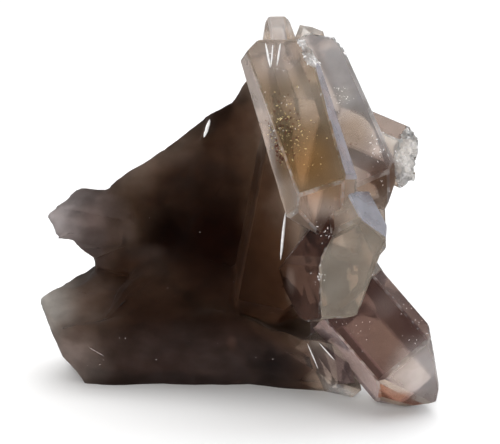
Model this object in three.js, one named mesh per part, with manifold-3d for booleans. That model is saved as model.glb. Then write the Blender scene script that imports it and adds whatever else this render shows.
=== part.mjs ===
// Smoky quartz cluster: quartz crystals grown together on a dark, broken mass of the same quartz, one solid.
// Millimetres, +Z up, front towards -Y. It stands on its flat broken base at z = 0, centred on the origin.
import * as THREE from "three";
import { ConvexGeometry } from "three/addons/geometries/ConvexGeometry.js";
import { ImprovedNoise } from "three/addons/math/ImprovedNoise.js";
import { mergeVertices } from "three/addons/utils/BufferGeometryUtils.js";
import Module from "manifold-3d";

const wasm = await Module();
wasm.setup();

const PRISM_SIDES = 6;
const END_LEAN = 51.8; // degrees from the growth axis to the normal of a quartz end face
const EDGE_WEAR = 0.16; // how deep the worn edges of the crystals are cut back
const MASS_STEP = 4.6; // longest edge on the surface of the broken mass
const MASS_WAVES = [[12, 1.5], [4.5, 0.7]]; // [length, height] of the lumps on the mass
const BREAK_STEP = 1.1; // distance between the points of a rough break
const BREAK_WAVES = [[5, 1.4], [2.1, 0.9]]; // [length, height] of the lumps on a rough break
const BREAK_SIZE = 26; // width of the space cut away at a rough break
const BASE_LEVEL = -0.5; // height at which the base is broken off flat

// A crystal is the space behind its faces: at is a point on its growth axis, turn its twist about that axis,
// prism the distances of its six sides from the axis, flare the degrees by which a side leans in towards the
// root, ends its end faces as [side, where they cross the axis], root how far it reaches back and far how far
// forward. breaks are the flat planes and rough the rough ones it is broken at, as [outward normal, a point].
const CRYSTALS = {
  main: {
    at: [15.5, -3.5, 47],
    axis: [0.29, -0.41, -0.86],
    prism: [7.6, 8.5, 7, 8, 3.5, 7.6],
    flare: [4, 0, 2, 0, 0, 0],
    ends: [[0, 15], [1, 18], [2, 16], [3, 18], [4, 16], [5, 14]],
    root: 32,
    breaks: [
      [[0, 0.15, 0.99], [8, 3, 71.5]],
      [[-0.72, 0.2, 0.66], [-0.1, 2.4, 67.9]],
    ],
    rough: [[[0.61, -0.39, 0.69], [16.2, 5.6, 68.9]]],
  },
  rear: {
    at: [23, 4, 50],
    axis: [0.4, -0.41, -0.86],
    prism: [5, 8, 6, 6, 3.2, 7.1],
    ends: [[0, 14.3], [1, 16], [2, 14], [3, 16], [4, 14], [5, 15.4]],
    root: 24,
    breaks: [
      [[0.2, 0.2, 0.96], [17.3, 17.5, 69.6]],
      [[0.8, 0.1, 0.6], [20.6, 14, 67.5]],
    ],
  },
  front: {
    at: [19, -7, 34.5],
    axis: [0.42, -0.58, -0.75],
    prism: [7, 12, 16, 8, 7.8, 8.65],
    ends: [[0, 10], [1, 26], [2, 29], [3, 26], [4, 12.8], [5, 30]],
    root: 5,
    breaks: [
      [[-0.81, -0.59, -0.05], [15.1, -13.1, 31.2]],
      [[-0.79, 0.21, 0.58], [8, -3, 27.5]],
      [[0.05, -0.42, -0.9], [18, -12.3, 19.6]],
      [[-0.8, -0.5, 0.28], [17.3, -13.2, 37.4]],
    ],
  },
  low: {
    at: [27.6, -6.4, 13.6],
    axis: [0.66, -0.3, -0.72],
    prism: [8, 8, 8, 8, 6, 11],
    ends: [[0, 16.4], [1, 19.4], [2, 20], [3, 20], [4, 17.5], [5, 20]],
    root: 10,
    breaks: [
      [[0.975, -0.1, 0.19], [39.5, -12.5, 2.5]],
      [[-0.03, -0.81, -0.59], [36, -11.7, 1.9]],
      [[0.22, 0, -0.975], [36.5, -11, 1]],
    ],
  },
  stub: {
    at: [26, 8, 50.6],
    axis: [0.85, -0.3, -0.32],
    prism: [5, 5.5, 6, 5, 5, 5.2],
    ends: [],
    root: 8,
    far: 14,
    rough: [[[0.8, -0.5, -0.1], [33.8, 6.5, 47.4]]],
  },
  back: {
    at: [8.6, 19.5, 66],
    axis: [0.18, -0.3, -0.94],
    prism: [4, 3.3, 4.5, 6, 4, 3.7],
    ends: [[0, 22], [1, 22], [2, 22], [3, 22], [4, 22], [5, 22]],
    root: 14,
    breaks: [
      [[0, 0.4, 0.92], [7, 17, 75.2]],
      [[-0.97, 0.15, 0.2], [4.3, 16.6, 72.4]],
      [[-0.7, 0.25, 0.67], [4.9, 17, 74.3]],
      [[0.93, 0.1, 0.35], [10.7, 16.7, 72.6]],
      [[0.6, 0.25, 0.76], [9.9, 17.1, 74.5]],
    ],
  },
  flank: {
    at: [25, 8.5, 31],
    axis: [0.02, -0.3, -0.95],
    prism: [4.4, 5, 5, 6, 4.7, 4.3],
    ends: [[0, 9], [1, 10], [2, 12], [3, 12], [4, 9], [5, 9]],
    root: 9,
  },
  heel: {
    at: [26.5, 5.5, 21.5],
    axis: [0.55, -0.15, -0.82],
    prism: [4, 5, 5, 5, 3, 3.4],
    ends: [[0, 9], [1, 10], [2, 10], [3, 10], [4, 8], [5, 8]],
    root: 7,
  },
  wall: {
    at: [7, 6.5, 34],
    axis: [-0.19, -0.22, -0.95],
    turn: 12,
    prism: [6.5, 6.5, 4.2, 9, 9, 12],
    ends: [[0, 25.5], [1, 26], [2, 30], [3, 30], [4, 30], [5, 28]],
    root: 24,
  },
};

// Small flakes among the crystals, each the hull of its corners.
const FLAKES = {
  top: [
    [10.6, 17.5, 69], [12.1, 18.2, 72.9], [14.6, 18, 72.5], [16.9, 17.8, 71.6], [17.7, 17.4, 69],
    [12, 21, 69], [13, 20.5, 72], [17, 21, 69],
  ],
  foot: [
    [15, -3, 5], [17.3, -0.3, -1], [22.6, -3.2, -1], [24.2, -7.5, 2.6], [19.5, -7.5, 4.2], [16.5, -5, 4.8],
    [24, 4, -1], [24, 2, 5],
  ],
  toe: [
    [13, -7, 13.2], [15.4, -7.9, 13.2], [18.5, -8.3, 12.6], [21.5, -9, 8.8], [22.8, -8.6, 4.6],
    [19.5, -7.6, 3.9], [15.5, -5.2, 5.4], [18.8, -8.6, 9.3], [14, 4, 12], [22, 4, 10], [22, 4, 3], [15, 4, 4],
  ],
};

// The dark mass is made of blocks, each the hull of its corners.
const BLOCKS = {
  ridge: [
    [-2, 18, 57], [-9, 17.5, 52], [-16.5, 18.5, 47.2], [-22, 18.5, 42.8], [-29, 19.5, 38],
    [-31.9, 13.2, 23.2], [-32.8, 13.6, 24.4], [-25.7, 11.3, 23.8], [-19, 7.1, 22], [-8.5, 4.1, 18],
    [-1.3, 1.7, 16], [-12.7, 10.4, 39.7], [-3.3, 8, 42.4], [8, 27, 56], [-6, 30, 47],
    [-28, 27, 34], [-30, 24, 12], [-10, 31, 27], [14, 29, 30], [15, 25, 6], [14, 6, 40],
  ],
  spur: [
    [1.6, 18.4, 61.9], [-2.4, 18.1, 56.3], [4.3, 8.6, 48.5], [-0.3, 7, 38.4], [-5.5, 13.5, 47.5],
    [9, 28, 58], [-2, 29, 50], [13, 25, 64], [12, 4, 36], [14, 6, 52],
  ],
  fin: [[-6.6, 17.3, 54.4], [-9.4, 14.2, 48.5], [-6, 16, 54.2], [-5, 13, 46], [-3, 20, 50], [-10, 22, 48]],
  shoulder: [
    [-42.5, 19.5, 31.3], [-41, 20, 33.6], [-39, 21.5, 35.2], [-35.3, 23, 37.7], [-39.6, 16.5, 27.8],
    [-34.6, 15.3, 26.9], [-26, 19, 38], [-24, 9, 29], [-22, 9, 33], [-32.8, 13.6, 24.4], [-36, 26, 28],
    [-26, 28, 36], [-24, 28, 24],
  ],
  baseLeft: [
    [-42.2, 9.5, 17], [-40.2, 7.3, 12.6], [-37.2, 4, 5], [-31.2, 3.4, -3], [-38.4, 11, 19.2], [-32, 13, 21.4],
    [-39, 19, 14], [-35, 21, -3], [-28, 24, 22], [-16, 28, 10], [-4, 26, -3], [10, 16, -3], [10, 16, 22],
    [1.8, 3.8, -3], [-3.2, -3, 17.2], [-20.7, -0.5, 14.6], [-37.4, 2, 12],
  ],
  baseRight: [
    [-6, 5, -3], [-6, 14, -3], [1.8, 3.8, -3], [17.3, 0.4, -3], [22, 0, -3], [21, 22, -3], [14, 27, -3],
    [18, 24, 20], [-6, 14, 22], [-3.2, -3, 17.2], [12.8, -6.6, 13.2], [18, -6, 12],
  ],
  waist: [
    [-29, 1.2, 13.4], [-20.7, 0, 14.4], [-3.2, -2.5, 16.8], [2, -2.5, 16.8], [-21, 8.6, 24.5],
    [-17, 7.5, 26.5], [-9, 5.5, 26.5], [-1, 2.5, 25], [4, 4, 22], [-26, 20, 16], [2, 18, 18],
  ],
  throat: [
    [14, -4, 30], [22, -5, 28], [25, -2, 24], [18, -5, 14], [26, -1, 14],
    [24, 8, 32], [16, 8, 34], [18, 10, 12], [26, 8, 16], [13, 22, 28], [14, 22, 16],
  ],
};
// Middles and half sizes of the rounded hollows broken out of the mass: a pit in front, a notch at the left.
const PIT_AT = [-17, 6, 31];
const PIT_HALF = [6.3, 7.6, 6.6];
const NOTCH_AT = [-37.2, 14, 23.2];
const NOTCH_HALF = [5.7, 16, 4.5];

const vector = (list) => new THREE.Vector3(...list);
const radians = THREE.MathUtils.degToRad;
const noise = new ImprovedNoise();

// Planes of a crystal's faces, normals outwards.
function facesOf({ at, axis, turn = 0, prism, flare = [], ends, root, far, breaks = [] }) {
  const along = vector(axis).normalize();
  const front = new THREE.Vector3(0, -1, 0);
  const first = front.clone().addScaledVector(along, -front.dot(along)).normalize();
  first.applyAxisAngle(along, radians(turn));
  const origin = vector(at);
  const outward = (side) => first.clone().applyAxisAngle(along, (side * 2 * Math.PI) / PRISM_SIDES);
  const plane = (normal, point) => new THREE.Plane().setFromNormalAndCoplanarPoint(normal, point);
  const onAxis = (distance) => origin.clone().addScaledVector(along, distance);
  const leaning = (side, lean) => {
    const forward = along.clone().multiplyScalar(Math.cos(radians(lean)));
    return forward.addScaledVector(outward(side), Math.sin(radians(lean)));
  };
  const faces = prism.map((distance, side) =>
    plane(leaning(side, 90 + (flare[side] ?? 0)), origin.clone().addScaledVector(outward(side), distance)),
  );
  for (const [side, reach] of ends) faces.push(plane(leaning(side, END_LEAN), onAxis(reach)));
  if (far) faces.push(plane(along, onAxis(far)));
  faces.push(plane(along.clone().negate(), onAxis(-root)));
  for (const [normal, point] of breaks) faces.push(plane(vector(normal).normalize(), vector(point)));
  return faces;
}

// Corners of the solid behind all the faces: each point where three of them meet that is in front of none.
function cornersOf(faces) {
  const corners = [];
  for (let i = 0; i < faces.length; i++)
    for (let j = i + 1; j < faces.length; j++)
      for (let k = j + 1; k < faces.length; k++) {
        const [a, b, c] = [faces[i], faces[j], faces[k]];
        const bc = b.normal.clone().cross(c.normal);
        const ca = c.normal.clone().cross(a.normal);
        const ab = a.normal.clone().cross(b.normal);
        const det = a.normal.dot(bc);
        if (Math.abs(det) < 1e-6) continue;
        const p = bc.multiplyScalar(-a.constant);
        p.addScaledVector(ca, -b.constant).addScaledVector(ab, -c.constant).divideScalar(det);
        if (faces.some((f) => f.distanceToPoint(p) > 1e-6)) continue;
        if (corners.some((q) => q.distanceTo(p) < 1e-4)) continue;
        corners.push(p);
      }
  return corners;
}

// The faces with one narrow plane more along every edge, as wear cuts it back.
function worn(faces) {
  const corners = cornersOf(faces);
  const touching = faces.map((f) => new Set(corners.filter((c) => Math.abs(f.distanceToPoint(c)) < 1e-4)));
  const chamfers = [];
  for (let i = 0; i < faces.length; i++)
    for (let j = i + 1; j < faces.length; j++) {
      const shared = [...touching[i]].filter((c) => touching[j].has(c));
      if (shared.length < 2) continue;
      const normal = faces[i].normal.clone().add(faces[j].normal).normalize();
      const back = shared[0].clone().addScaledVector(normal, -EDGE_WEAR);
      chamfers.push(new THREE.Plane().setFromNormalAndCoplanarPoint(normal, back));
    }
  return [...faces, ...chamfers];
}

function solidOf(geometry) {
  const bare = geometry.clone();
  bare.deleteAttribute("normal");
  bare.deleteAttribute("uv");
  const merged = mergeVertices(bare, 1e-4);
  return new wasm.Manifold(
    new wasm.Mesh({
      numProp: 3,
      vertProperties: merged.getAttribute("position").array,
      triVerts: new Uint32Array(merged.getIndex().array),
    }),
  );
}

function geometryOf(solid) {
  const mesh = solid.getMesh();
  const geometry = new THREE.BufferGeometry();
  geometry.setAttribute("position", new THREE.BufferAttribute(mesh.vertProperties, 3));
  geometry.setIndex(new THREE.BufferAttribute(mesh.triVerts, 1));
  return geometry;
}

const joined = (solids) => solids.reduce((sum, solid) => sum.add(solid));
const hullOf = (corners) => solidOf(new ConvexGeometry(corners.map(vector)));

// Halves the longest edges of a geometry's triangles until none is longer than the step.
function refined(geometry, step) {
  const position = geometry.getAttribute("position");
  const index = geometry.getIndex().array;
  const points = Array.from({ length: position.count }, (_, i) =>
    new THREE.Vector3().fromBufferAttribute(position, i),
  );
  let triangles = Array.from({ length: index.length / 3 }, (_, i) => [...index.slice(3 * i, 3 * i + 3)]);
  for (let before = 0; before !== triangles.length; ) {
    before = triangles.length;
    const middles = new Map();
    const key = (a, b) => Math.min(a, b) + " " + Math.max(a, b);
    const middle = (a, b) => middles.get(key(a, b)) ?? null;
    for (const [a, b, c] of triangles) {
      const edges = [[a, b], [b, c], [c, a]].map(([p, q]) => [points[p].distanceTo(points[q]), p, q]);
      const [length, p, q] = edges.reduce((most, edge) => (edge[0] > most[0] ? edge : most));
      if (length <= step || middles.has(key(p, q))) continue;
      middles.set(key(p, q), points.push(points[p].clone().lerp(points[q], 0.5)) - 1);
    }
    triangles = triangles.flatMap(([a, b, c]) => {
      const ring = [a, middle(a, b), b, middle(b, c), c, middle(c, a)];
      const cut = [1, 3, 5].filter((i) => ring[i] !== null);
      const [p, q, r] = [ring[1], ring[3], ring[5]];
      if (cut.length === 0) return [[a, b, c]];
      if (cut.length === 3) return [[a, p, r], [p, b, q], [r, q, c], [p, q, r]];
      const start = cut.length === 1 ? cut[0] : cut.find((i) => cut.includes((i + 2) % 6));
      const [d, m, e, n, f] = [5, 6, 7, 8, 9].map((i) => ring[(start + i) % 6]);
      if (cut.length === 1) return [[d, m, f], [m, e, f]];
      const near = points[d].distanceTo(points[n]) < points[m].distanceTo(points[f]);
      return near ? [[m, e, n], [d, m, n], [d, n, f]] : [[m, e, n], [d, m, f], [m, n, f]];
    });
  }
  const finer = new THREE.BufferGeometry().setFromPoints(points);
  finer.setIndex(triangles.flat());
  return finer;
}

// A smooth drift that differs from place to place, added up over [length, height] waves.
function drift(p, waves) {
  const sum = new THREE.Vector3();
  for (const [length, height] of waves) {
    const [x, y, z] = [p.x / length, p.y / length, p.z / length];
    const pull = new THREE.Vector3(
      noise.noise(x, y, z),
      noise.noise(y + 9.7, z + 3.1, x + 5.3),
      noise.noise(z + 4.9, x + 8.2, y + 1.6),
    );
    sum.addScaledVector(pull, height);
  }
  return sum;
}

function weathered(geometry, waves, moves = () => true) {
  const position = geometry.getAttribute("position");
  const p = new THREE.Vector3();
  for (let i = 0; i < position.count; i++) {
    p.fromBufferAttribute(position, i);
    if (!moves(p)) continue;
    p.add(drift(p, waves));
    position.setXYZ(i, p.x, p.y, p.z);
  }
  return geometry;
}

// The space in front of a rough break, to be cut away.
function breakAt([normal, point]) {
  const steps = Math.round(BREAK_SIZE / BREAK_STEP);
  const block = new THREE.BoxGeometry(BREAK_SIZE, BREAK_SIZE, BREAK_SIZE, steps, steps, 1);
  block.translate(0, 0, BREAK_SIZE / 2);
  block.deleteAttribute("normal");
  block.deleteAttribute("uv");
  const up = new THREE.Vector3(0, 0, 1);
  const turn = new THREE.Quaternion().setFromUnitVectors(up, vector(normal).normalize());
  const rough = weathered(mergeVertices(block), BREAK_WAVES, (p) => p.z < 0.01);
  return solidOf(rough.applyQuaternion(turn).translate(...point));
}

function grown(spec) {
  const whole = solidOf(new ConvexGeometry(cornersOf(worn(facesOf(spec)))));
  return (spec.rough ?? []).reduce((left, place) => left.subtract(breakAt(place)), whole);
}

const hollow = (at, half) => solidOf(new THREE.IcosahedronGeometry(1, 3).scale(...half).translate(...at));
const hollows = hollow(PIT_AT, PIT_HALF).add(hollow(NOTCH_AT, NOTCH_HALF));
const broken = joined(Object.values(BLOCKS).map(hullOf)).subtract(hollows);
const mass = solidOf(weathered(refined(geometryOf(broken), MASS_STEP), MASS_WAVES));

const crystals = Object.values(CRYSTALS).map(grown);
const flakes = Object.values(FLAKES).map(hullOf);
const ground = solidOf(new THREE.BoxGeometry(200, 200, 100).translate(0, 0, BASE_LEVEL - 50));
const cluster = geometryOf(joined([mass, ...crystals, ...flakes]).subtract(ground));

cluster.computeBoundingBox();
const middle = cluster.boundingBox.getCenter(new THREE.Vector3());
cluster.translate(-middle.x, -middle.y, -BASE_LEVEL);

const quartz = new THREE.MeshStandardMaterial({ color: 0x4a382c, roughness: 0.1, metalness: 0 });
const mesh = new THREE.Mesh(cluster, quartz);
mesh.name = "quartz_cluster";
const group = new THREE.Group();
group.add(mesh);
export default group;
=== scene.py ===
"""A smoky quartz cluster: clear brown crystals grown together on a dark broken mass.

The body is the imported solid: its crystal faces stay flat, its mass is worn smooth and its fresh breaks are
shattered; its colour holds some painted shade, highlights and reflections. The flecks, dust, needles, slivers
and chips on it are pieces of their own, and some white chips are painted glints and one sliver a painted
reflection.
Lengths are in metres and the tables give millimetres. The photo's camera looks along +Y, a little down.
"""

import math
from collections import deque

import bmesh
import bpy
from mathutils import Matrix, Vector


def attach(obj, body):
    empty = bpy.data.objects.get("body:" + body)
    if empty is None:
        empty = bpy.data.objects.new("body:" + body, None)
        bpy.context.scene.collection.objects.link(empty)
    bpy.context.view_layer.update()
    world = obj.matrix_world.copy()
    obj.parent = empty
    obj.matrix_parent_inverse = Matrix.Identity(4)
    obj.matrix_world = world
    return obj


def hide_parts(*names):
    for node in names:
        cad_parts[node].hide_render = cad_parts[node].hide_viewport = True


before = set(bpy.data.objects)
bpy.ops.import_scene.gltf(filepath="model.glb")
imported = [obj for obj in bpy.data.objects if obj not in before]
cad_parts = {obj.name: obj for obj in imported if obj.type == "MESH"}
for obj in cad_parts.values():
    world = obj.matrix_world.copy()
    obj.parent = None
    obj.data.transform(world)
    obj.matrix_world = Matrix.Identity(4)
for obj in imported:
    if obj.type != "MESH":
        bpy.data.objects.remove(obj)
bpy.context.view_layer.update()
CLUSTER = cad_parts["quartz_cluster"]

MM = 0.001

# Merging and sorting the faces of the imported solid
MERGE = 0.001 * MM
LEVEL_ANGLE = math.radians(0.7)
SAME_FACE = math.radians(1.0)
CRYSTAL_AREA = 12 * MM**2
DARK_AREA = 30 * MM**2
BREAK_AREA = 4 * MM**2
THIN_RATIO = 0.6 * MM
FLOOR_GAP = 0.05 * MM

# Cutting the faces up and wearing the mass smooth: each round draws its points in and lets them swell back,
# and the rounds in a pit only draw them in
REFINE_ROUNDS = 12
PIT_ROUNDS = 60
SMOOTH_ROUNDS = 18
DRAW_IN = 0.5
SWELL_BACK = -0.52
WEAR_RINGS = 4

# What a face of the body is, and the longest edge it keeps
FLAT, WORN, BROKEN, EDGE = range(4)
STEPS = {FLAT: 3.2 * MM, WORN: 1.3 * MM, BROKEN: 0.55 * MM, EDGE: 3.2 * MM}

# Places with fresh breaks, soft pits, worn walls, a worn back and small flat flakes, with their middle and
# reach in millimetres
MAIN_BREAK = (18.1, -2.2, 67.5)
STUB_BREAK = (35.7, -1.3, 47.9)
BREAKS = {"main": (MAIN_BREAK, 9), "stub": (STUB_BREAK, 9)}
PITS = {"pit": ((-14, -1.8, 31.5), 10)}
WALLS = {"wall": ((6, -7.5, 28), 9.5), "wall foot": ((12.6, -9, 17), 4)}
BACKS = {"back": ((16, 20, 27), 24), "back top": ((11, 17, 54), 12), "back foot": ((18, 13, 5), 16)}
FLAKES = {"top": ((16, 10.5, 71.8), 5.5), "toe": ((20, -14.5, 9), 7), "foot": ((22, -12, 2.5), 7)}

# Relief of the skin: the height and size of its swells, ripples and shards, and how far shards step apart
SKIN = {
    "Swell": 0.6 * MM,
    "Swell Size": 9 * MM,
    "Ripple": 0.6 * MM,
    "Ripple Size": 3.0 * MM,
    "Shard": 0.9 * MM,
    "Shard Size": 1.3 * MM,
}
SHARD_STEP = 0.9

# The depth of the smoke: rays go inward from just below the skin, one straight and six leaning
RAY_START = 0.05 * MM
RAY_LENGTH = 0.1
RAY_LEAN = 0.6
DEPTH_BLUR = 10

# Quartz: its glass, its smoke, and how rough its smooth and its frosted skin are
QUARTZ_IOR = 1.544
SEE_THROUGH = 0.68
SMOKE_COLOUR = (0.60, 0.44, 0.32, 1)
SMOKE_DENSITY = 60.0
SKIN_SMOOTH = 0.09
SKIN_ROUGH = 0.2
FROST_ROUGH = 0.22

# The plane that parts the clear crystals from the dark mass: x + CLEAR_LEAN * z = CLEAR_AT
CLEAR_LEAN = 0.234
CLEAR_AT = 19.3 * MM

# How the smoke clears across that plane: it starts and ends around it, earlier at the back, and wanders
CLEAR_BEFORE = 4 * MM
CLEAR_AFTER = 2 * MM
CLEAR_WANDER = 10 * MM
WANDER_SIZE = 7 * MM
BACK_FROM = 6 * MM
BACK_TO = 20 * MM
BACK_EARLIER = 10 * MM

# Colours of the clear side, and of the dark side by the share of the full depth behind a point
CLEAR_COLOUR = (0.72, 0.63, 0.55, 1)
CLEAR_WORN_COLOUR = (0.48, 0.38, 0.31, 1)
FULL_DEPTH = 32 * MM
DEPTH_COLOURS = {
    0.1: (0.50, 0.43, 0.41, 1),
    0.3: (0.28, 0.21, 0.18, 1),
    0.5: (0.085, 0.055, 0.036, 1),
    0.75: (0.046, 0.023, 0.013, 1),
    1.0: (0.028, 0.012, 0.0065, 1),
}

# Tones of the crystal faces: a point on the face in millimetres, and the colour of the smoke behind it; on
# the faces marked below the colour is partly or wholly painted light
FACE_TONES = {
    "main front": ((10.4, -13.4, 57.7), (0.42, 0.335, 0.24)),
    # Painted highlight and reflection: the pale left bevel and the bluish right bevel of the main crystal
    # stand for the studio light they let through and mirror
    "main left bevel": ((6.0, -9.2, 55.0), (0.92, 0.84, 0.80)),
    "main right bevel": ((19.6, -12.0, 59.4), (0.72, 0.72, 0.82)),
    "main end": ((16.0, -19.8, 42.6), (0.74, 0.55, 0.45)),
    "rear front": ((23.4, -4.4, 62.1), (1.0, 0.93, 0.91)),
    # Painted reflection: the bluish tone of the rear crystal's right face stands for the sky light it mirrors
    "rear right": ((25.7, -5.0, 61.2), (0.86, 0.86, 0.90)),
    "back front": ((9.5, 9.5, 72.9), (0.95, 0.93, 0.95)),
    "top flake": ((16.5, 10.0, 71.8), (1.0, 1.0, 1.0)),
    "stub top": ((31.7, -2.7, 54.8), (0.46, 0.38, 0.35)),
    # Painted reflection: the white stub front stands for the bluish sky light it mirrors
    "stub front": ((31.4, -6.0, 52.4), (1.0, 1.0, 1.0)),
    # Partly the smoke behind it, partly a painted reflection of the soft studio light on the front face
    "front face": ((22.8, -20.5, 29.0), (0.56, 0.50, 0.425)),
    "front left": ((13.5, -15.6, 26.4), (0.11, 0.065, 0.055)),
    "front left band": ((13.4, -15.5, 30.9), (0.11, 0.065, 0.055)),
    # Painted shade: the dark corner facet between the front crystal's left face and its front face
    "front upper left": ((16.7, -18.9, 34.5), (0.05, 0.022, 0.018)),
    # Painted reflection: the bluish tone of the front crystal's right face stands for the sky light it
    # mirrors
    "front right": ((27.9, -20.5, 37.9), (0.75, 0.78, 0.90)),
    "flank": ((29.6, -4.3, 25.0), (0.58, 0.54, 0.50)),
    "low front": ((26.2, -20.7, 19.3), (0.185, 0.108, 0.098)),
    "low band": ((33.6, -20.0, 22.8), (0.23, 0.155, 0.15)),
    "low band top": ((28.8, -18.7, 27.4), (0.30, 0.22, 0.21)),
    "low end": ((37.0, -20.6, 8.5), (0.50, 0.42, 0.40)),
    "low orange": ((33.4, -20.6, 4.2), (0.44, 0.19, 0.12)),
    "toe left": ((19.6, -16.1, 12.0), (0.20, 0.145, 0.15)),
    "toe middle": ((22.6, -16.4, 7.9), (0.27, 0.205, 0.21)),
    "toe low": ((21.7, -15.7, 5.5), (0.23, 0.175, 0.18)),
    "low left": ((23.4, -18.1, 10.7), (0.55, 0.44, 0.47)),
    "foot": ((22.0, -12.5, 2.4), (0.90, 0.95, 1.0)),
}

# Soft patches over the smoke, most of them other smoke and the marked ones painted light: middle and reach in
# millimetres, colour, and how much of it shows. Within the core, a share of the reach, all of it shows.
SMOKE_AND_PAINTED_LIGHT_PATCHES = {
    "upper lobe": ((-36, 10, 31), (17, 22, 16), (0.215, 0.172, 0.172), 0.9),
    "upper lobe tip": ((-43, 11, 31), (14, 18, 13), (0.70, 0.64, 0.65), 1.0),
    "lower lobe": ((-38, 0, 12), (20, 22, 18), (0.22, 0.155, 0.125), 0.9),
    "lower lobe tip": ((-43, 0, 15), (13, 18, 13), (0.80, 0.76, 0.71), 1.0),
    "lower lobe foot": ((-34, -5, 5), (11, 14, 9), (0.50, 0.41, 0.38), 0.85),
    "slope by the lobe": ((-22, 12, 43), (11, 10, 8), (0.34, 0.25, 0.20), 0.5),
    "lower slope": ((-15, 12, 48.5), (13, 10, 8), (0.34, 0.25, 0.20), 0.45),
    "upper slope": ((-8, 12, 54), (11, 10, 7), (0.22, 0.15, 0.11), 0.35),
    "slope top": ((1, 11, 63), (8, 9, 6), (0.13, 0.085, 0.06), 0.3),
    "beside the main crystal": ((3.5, 6, 55), (6, 7, 8), (0.04, 0.02, 0.012), 0.95),
    "slope shade": ((-1.5, 7.5, 54), (8.5, 11, 10), (0.03, 0.012, 0.006), 0.92),
    # Painted shade: the hollow beside the wall darkened almost to black
    "shade in the hollow": ((-3, -1, 31), (15, 14, 18), (0.006, 0.0009, 0.0002), 0.97),
    # Painted shade: the pit darkened almost to black
    "pit": ((-13.5, 3, 30.5), (11, 12, 10), (0.0025, 0.0004, 0.0002), 0.95),
    # Painted highlights: the pale curved lines along the lip and the fold of the pit
    "highlight on the pit lip": ((-22.3, 2, 31.5), (3.8, 6, 6.5), (0.16, 0.125, 0.12), 0.3),
    "highlight on the pit fold": ((-18.5, 2.8, 26.5), (6.5, 6, 2.6), (0.08, 0.062, 0.058), 0.5),
    "middle": ((-17, -2, 22), (10, 10, 6), (0.085, 0.048, 0.031), 0.5),
    # Partly the base's own colour, partly a painted reflection of the floor and studio on the base's front
    "base front and its reflection": ((-6, -9, 5), (36, 14, 13), (0.10, 0.074, 0.073), 0.85),
    "base right": ((9, -10, 6), (9, 9, 9), (0.016, 0.014, 0.017), 0.9),
    "main lower bevel": ((9.6, -15.4, 49.5), (4, 6, 7), (0.26, 0.165, 0.08), 0.8),
    "wall": ((9, -9, 29), (9, 9, 19), (0.034, 0.0145, 0.0068), 0.95),
    "wall front": ((9.5, -8, 34), (5, 6, 12), (0.075, 0.038, 0.02), 0.45),
    "wall strip": ((3.8, -4, 39), (3.2, 6, 8), (0.07, 0.042, 0.026), 0.6),
    "wall top": ((7, -4, 43), (8, 9.5, 14), (0.045, 0.022, 0.012), 0.97),
    # Painted shadow: the dark line under the wall's end where it meets the base
    "shadow below the wall": ((12.5, -12, 14.2), (6, 5, 3), (0.03, 0.018, 0.012), 0.75),
    "main gold": ((15, -17, 50), (8, 8, 10), (0.48, 0.25, 0.075), 0.85),
    "main amber": ((19, -19, 46), (5, 5, 5), (0.50, 0.30, 0.14), 0.7),
    "main middle": ((12, -14, 55), (8, 8, 7), (0.22, 0.155, 0.072), 0.7),
    "main bevel end": ((11, -16.5, 42.5), (4, 5, 5), (0.62, 0.46, 0.30), 0.6),
    "main blade": ((7.6, -6.8, 69.7), (1.2, 3, 2.8), (0.90, 0.90, 0.94), 0.8),
    "main blade right": ((9.7, -7.0, 69.9), (1.0, 3, 2.4), (0.90, 0.90, 0.94), 0.7),
    "top flake": ((16, 10.5, 72.2), (5, 4, 2.8), (1.0, 1.0, 1.0), 1.0),
    "back top": ((10, 10, 74), (5, 7, 4), (0.95, 0.95, 0.97), 0.6),
    "front streak": ((11.8, -13.2, 25.6), (1.4, 3, 3.6), (0.30, 0.24, 0.22), 0.7),
    "base streak": ((0, -8.8, 10.4), (1.6, 4, 2.8), (0.20, 0.12, 0.10), 0.75),
    "main veil": ((15, -11, 61), (5, 6, 7), (0.78, 0.71, 0.63), 0.6),
    "main top": ((9, -7, 69), (10, 9, 7), (0.80, 0.74, 0.72), 0.75),
    "main foot": ((16.5, -19, 41.5), (6, 7, 4), (0.74, 0.63, 0.56), 0.6),
    "rear middle": ((24, -7, 54), (7, 9, 8), (0.36, 0.27, 0.19), 0.8),
    "rear foot": ((29, -10, 46), (9, 10, 8.5), (0.15, 0.06, 0.025), 0.88),
    "rear veil": ((22.3, -4.6, 60.8), (3.4, 4, 3.0), (1.0, 1.0, 1.0), 1.0),
    "main tip": ((18, -20, 38), (5, 5, 4.5), (0.07, 0.03, 0.024), 0.9),
    "rear chip": ((28.6, -9.8, 51.3), (2.0, 4, 1.6), (1.0, 0.93, 0.92), 0.9),
    "low pale end": ((38, -22, 9.5), (9.4, 11, 10.3), (0.97, 0.93, 0.95), 0.97),
    "low orange": ((33.4, -20.6, 3.8), (4, 5, 2.4), (0.40, 0.16, 0.10), 0.85),
    "low dark edge": ((36, -18, 21), (6, 9, 8), (0.11, 0.06, 0.062), 0.7),
    "low brown": ((30, -20, 16), (6, 7, 8), (0.17, 0.10, 0.08), 0.7),
    "low upper": ((30, -19, 23), (4, 5, 4), (0.32, 0.25, 0.24), 0.75),
    "low left": ((25, -17, 9), (6, 6, 7), (0.22, 0.165, 0.17), 0.6),
    "toe": ((19.5, -14.5, 9), (7.5, 8, 8), (0.12, 0.08, 0.086), 0.85),
    "foot": ((22, -12.5, 1.5), (6, 5, 3), (0.95, 0.98, 1.0), 0.9),
}
PATCH_CORE = 0.15

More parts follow.
